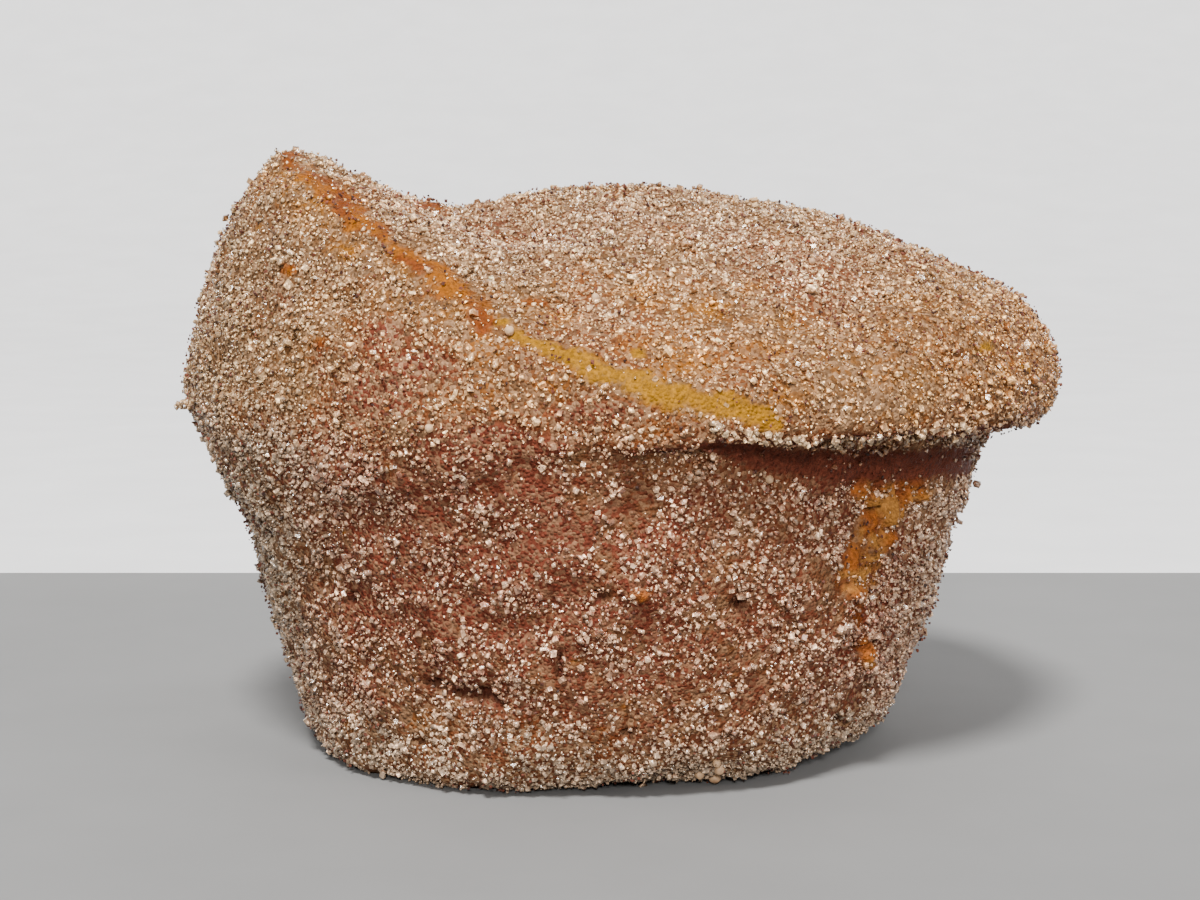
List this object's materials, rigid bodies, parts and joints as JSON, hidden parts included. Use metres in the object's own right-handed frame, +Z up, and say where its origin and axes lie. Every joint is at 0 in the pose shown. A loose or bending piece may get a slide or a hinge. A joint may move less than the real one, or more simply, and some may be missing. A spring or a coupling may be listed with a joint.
{
  "type": "french breakfast puff",
  "caption": "Small round muffin with a lopsided, overhanging cap, rolled in butter and cinnamon sugar, standing on its flat foot.",
  "frame": {"origin": "middle of the flat foot that the puff stands on", "axes": "+Z up; -Y is the pictured front; -X is the side with the raised peak, +X the side with the overhanging lip"},
  "size_m": [0.0801, 0.0763, 0.0542],
  "materials": {
    "sugared_crust": "browned crust under cinnamon and coarse sugar"
  },
  "bodies": {
    "root": {"puff": "sugared_crust"}
  },
  "joints": []
}
